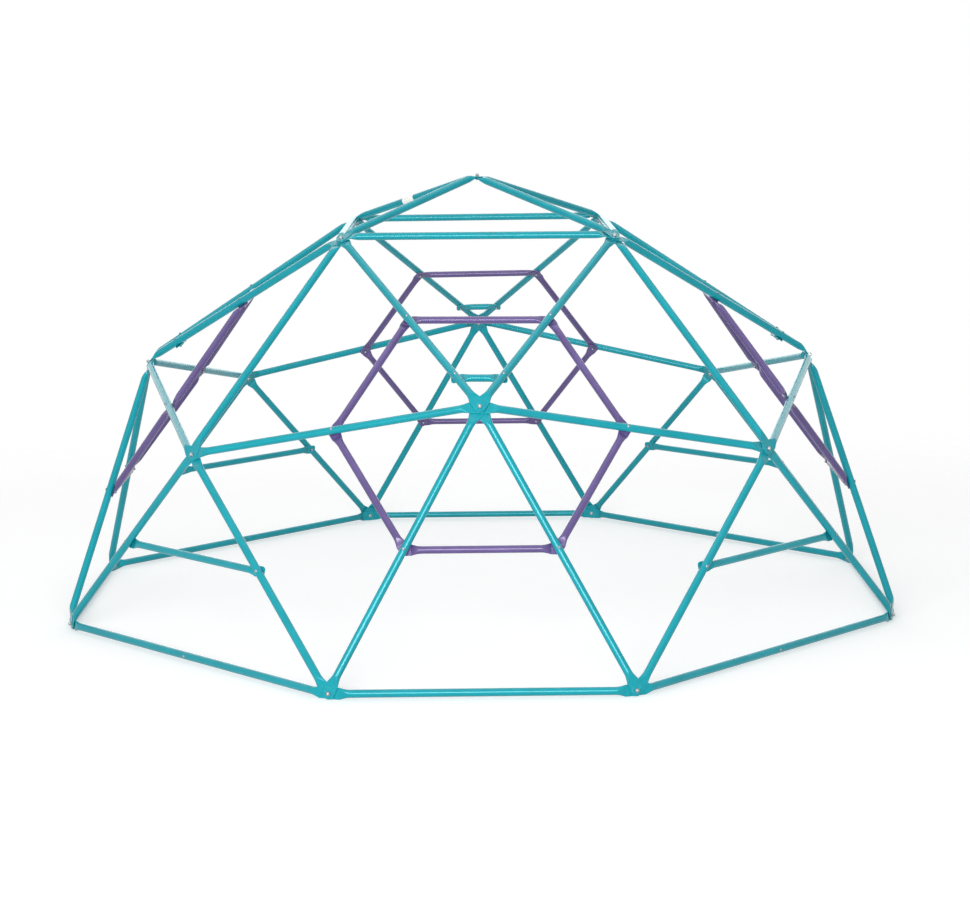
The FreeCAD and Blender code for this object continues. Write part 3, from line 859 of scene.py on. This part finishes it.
def make_climber():
    steel = srgb(120, 126, 128)
    teal = powder_coat(
        "teal_powder_coat", thin=srgb(7, 135, 147), full=srgb(9, 142, 155), dusty=srgb(84, 186, 198),
        bare=steel, sheen=(0.15, 0.85, 0.9, 1.0),
    )
    purple = powder_coat(
        "purple_powder_coat", thin=srgb(81, 67, 116), full=srgb(89, 74, 126), dusty=srgb(146, 130, 182),
        bare=steel, sheen=(0.75, 0.65, 0.9, 1.0),
    )

    def one(node, ends, diameter=FRAME_TUBE):
        make_tubes(node, [tube_rings(*ends, diameter)], teal)

    def pair(node, ends, index):
        runs = [tube_rings(*ends(index, end), FRAME_TUBE) for end in (0, 1)]
        make_tubes(node, runs, teal)

    for index, (side, corner) in enumerate(zip(SIDES, CORNERS)):
        one("crown_spoke_" + corner, crown_spoke_ends(index))
        one("crown_bar_" + side, crown_bar_ends(index))
        one("corner_strut_" + corner, corner_strut_ends(index))
        pair("face_struts_" + side, face_strut_ends, index)
        pair("belt_bars_" + side, belt_bar_ends, index)
        pair("face_legs_" + side, face_leg_ends, index)
        pair("corner_legs_" + corner, corner_leg_ends, index)
        one("base_bar_" + side, base_bar_ends(index))
        near, far = long_bar_seats(index)
        socket = half_bar_rings(near, far, plug=False)
        plug = half_bar_rings(far, near, plug=True)
        make_tubes("base_socket_tube_" + corner, [socket], teal)
        make_tubes("base_plug_tube_" + corner, [plug], teal)
        bridge = [inner_seat(cross, 0) for cross in bridge_crossings(index)]
        one("bridge_bar_" + side, bridge, INNER_TUBE)
        rung = [inner_seat(cross, 0) for cross in rung_crossings(index)]
        one("rung_" + corner, rung, INNER_TUBE)
        bars = [tube_rings(*ends, INNER_TUBE) for ends in hexagon_bar_ends(index)]
        make_tubes("hexagon_" + side, bars, purple)
    make_all_fasteners()
    make_label(label_film())


# ---------------------------------------------------------------- studio

def make_floor():
    build = bmesh.new()
    bmesh.ops.create_circle(build, cap_ends=True, segments=96, radius=FLOOR_RADIUS)
    mesh = bpy.data.meshes.new("floor")
    build.to_mesh(mesh)
    build.free()
    mesh.materials.append(floor_paper())
    floor = bpy.data.objects.new("floor", mesh)
    bpy.context.scene.collection.objects.link(floor)


def make_light(name, position, aim, size, radiance):
    light = bpy.data.lights.new(name, "AREA")
    light.shape = "RECTANGLE"
    light.size, light.size_y = size
    light.energy = radiance * math.pi * size[0] * size[1]
    lamp = bpy.data.objects.new(name, light)
    lamp.location = position
    lamp.rotation_euler = (Vector(aim) - Vector(position)).to_track_quat("-Z", "Y").to_euler()
    lamp.visible_camera = False
    bpy.context.scene.collection.objects.link(lamp)


def make_lights():
    """A long softbox to the left of the camera, one overhead and a large weak one behind."""
    make_light("softbox_key", (-1.3, -8.9, 2.8), aim=(0, 0, 0.8), size=(7.0, 2.2), radiance=17.0)
    make_light("softbox_top", (0.0, 0.0, 5.0), aim=(0, 0, 0), size=(6.0, 6.0), radiance=0.8)
    make_light("softbox_back", (0.0, 6.0, 2.5), aim=(0, 0, 1.0), size=(12.0, 4.8), radiance=1.15)
    world = bpy.data.worlds.new("studio")
    world.use_nodes = True
    nodes = world.node_tree.nodes
    strength = nodes.new("ShaderNodeMapRange")
    strength.inputs["To Min"].default_value = SOFT_AROUND
    strength.inputs["To Max"].default_value = WHITE_BEHIND
    path = nodes.new("ShaderNodeLightPath").outputs
    shown = nodes.new("ShaderNodeMath")
    shown.operation = "MAXIMUM"
    world.node_tree.links.new(path["Is Camera Ray"], shown.inputs[0])
    world.node_tree.links.new(path["Is Glossy Ray"], shown.inputs[1])
    world.node_tree.links.new(shown.outputs[0], strength.inputs["Value"])
    world.node_tree.links.new(strength.outputs["Result"], nodes["Background"].inputs["Strength"])
    nodes["Background"].inputs["Color"].default_value = (1.0, 1.0, 1.0, 1.0)
    bpy.context.scene.world = world


def make_camera():
    camera = bpy.data.cameras.new("camera")
    camera.sensor_fit = "HORIZONTAL"
    camera.sensor_width = 36.0
    camera.lens = CAMERA_LENS
    holder = bpy.data.objects.new("camera", camera)
    forward = Vector((
        math.sin(CAMERA_PAN) * math.cos(CAMERA_DOWN),
        math.cos(CAMERA_PAN) * math.cos(CAMERA_DOWN),
        -math.sin(CAMERA_DOWN),
    ))
    right = forward.cross(Vector((0, 0, 1))).normalized()
    up = right.cross(forward)
    turn = Matrix((right, up, -forward)).transposed() @ Matrix.Rotation(CAMERA_ROLL, 3, "Z")
    holder.matrix_world = Matrix.Translation((0, -CAMERA_DISTANCE, CAMERA_HEIGHT)) @ turn.to_4x4()
    bpy.context.scene.collection.objects.link(holder)
    bpy.context.scene.camera = holder


make_climber()
make_floor()
make_lights()
make_camera()
bpy.context.scene.view_settings.view_transform = "Standard"
